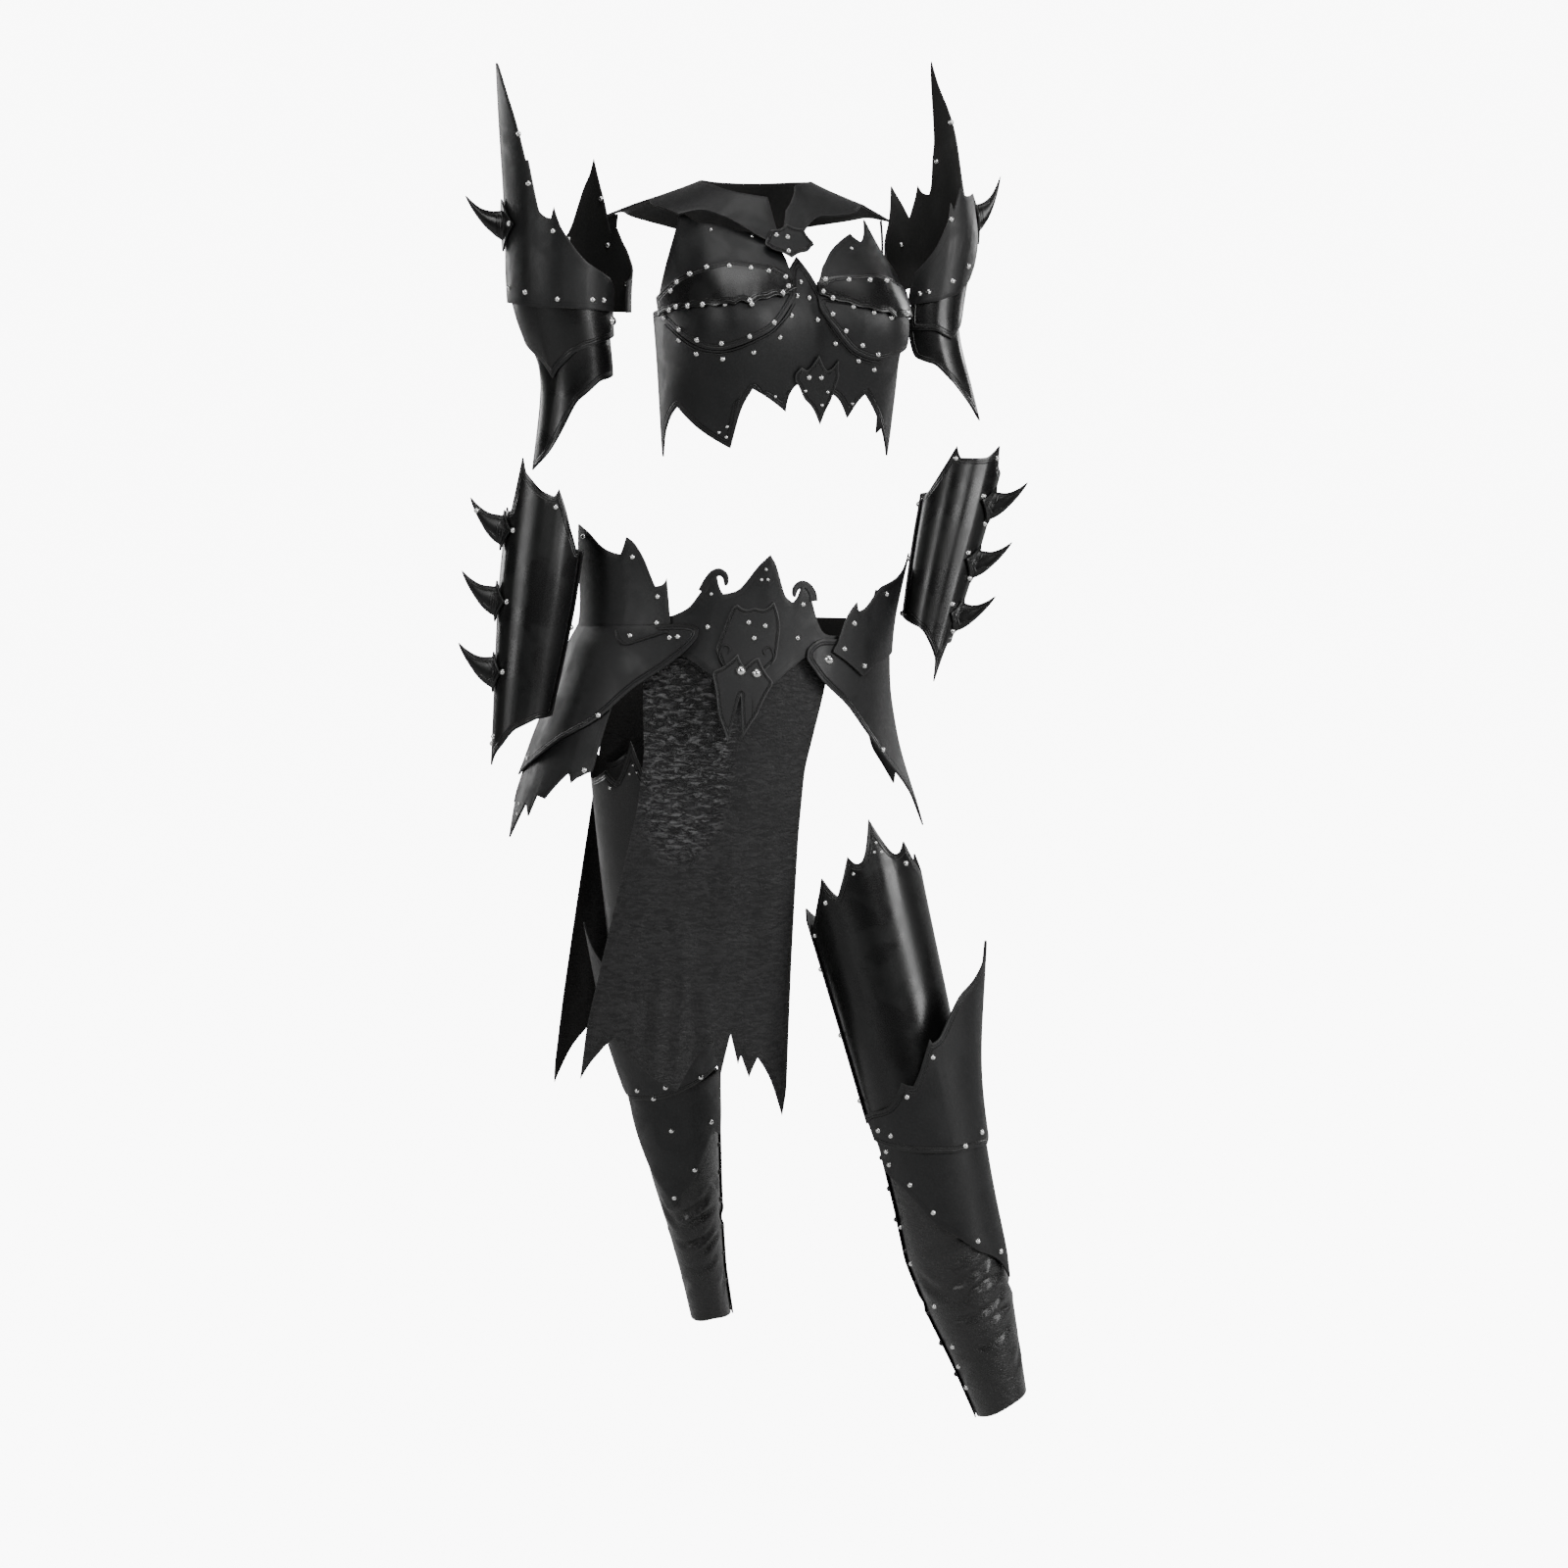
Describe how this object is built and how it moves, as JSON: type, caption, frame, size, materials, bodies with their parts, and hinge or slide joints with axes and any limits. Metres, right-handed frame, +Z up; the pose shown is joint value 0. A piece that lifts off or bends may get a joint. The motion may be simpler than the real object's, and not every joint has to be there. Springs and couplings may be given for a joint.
{
  "type": "leather armour set",
  "caption": "Fantasy leather armour set worn as a costume: collar, cupped bodice, spiked shoulder guards, horned bracers, belt with hanging plates, loincloth, thigh cuffs and greaves.",
  "frame": {"origin": "middle of the neck opening of the collar, level with its edge, where the set hangs from the wearer", "axes": "+Z up, +X to the wearer's left, -Y to the wearer's front"},
  "size_m": [0.6271, 0.3608, 1.4932],
  "materials": {
    "plate_leather": "matte black, moulded",
    "polished_leather": "waxed black with a satin gloss",
    "grained_leather": "pebbled black, soft sheen",
    "soft_leather": "soft black, creased, satin gloss"
  },
  "bodies": {
    "root": {"collar": "plate_leather", "bodice": "plate_leather", "back_band": "plate_leather", "cup_upper_r": "plate_leather", "cup_lower_r": "plate_leather", "cup_band_r": "polished_leather", "cup_upper_l": "plate_leather", "cup_lower_l": "plate_leather", "cup_band_l": "polished_leather", "crest_upper": "plate_leather", "crest_lower": "polished_leather", "shoulder_cap_r": "plate_leather", "shoulder_back_r": "plate_leather", "shoulder_lame_r": "plate_leather", "shoulder_cuff_r": "plate_leather", "shoulder_strap_r": "plate_leather", "shoulder_cap_l": "plate_leather", "shoulder_back_l": "plate_leather", "shoulder_lame_l": "plate_leather", "shoulder_cuff_l": "plate_leather", "shoulder_strap_l": "plate_leather", "bracer_r": "polished_leather", "bracer_l": "polished_leather", "horn_r_1": "polished_leather", "horn_r_2": "polished_leather", "horn_r_3": "polished_leather", "horn_l_1": "polished_leather", "horn_l_2": "polished_leather", "horn_l_3": "polished_leather", "shoulder_horn_r": "polished_leather", "shoulder_horn_l": "polished_leather", "belt_front": "plate_leather", "belt_back": "plate_leather", "hip_plate_r": "plate_leather", "hip_plate_l": "plate_leather", "tasset_r": "plate_leather", "tasset_flare_r": "plate_leather", "tasset_l": "plate_leather", "plaque_upper": "plate_leather", "plaque_lower": "polished_leather", "loincloth_front": "grained_leather", "loincloth_back": "grained_leather", "thigh_cuff_l": "polished_leather", "thigh_cuff_r": "polished_leather", "knee_plate_l": "plate_leather", "knee_plate_r": "plate_leather", "shin_plate_l": "plate_leather", "shin_plate_r": "plate_leather", "legging_l": "soft_leather", "legging_r": "soft_leather"}
  },
  "joints": []
}
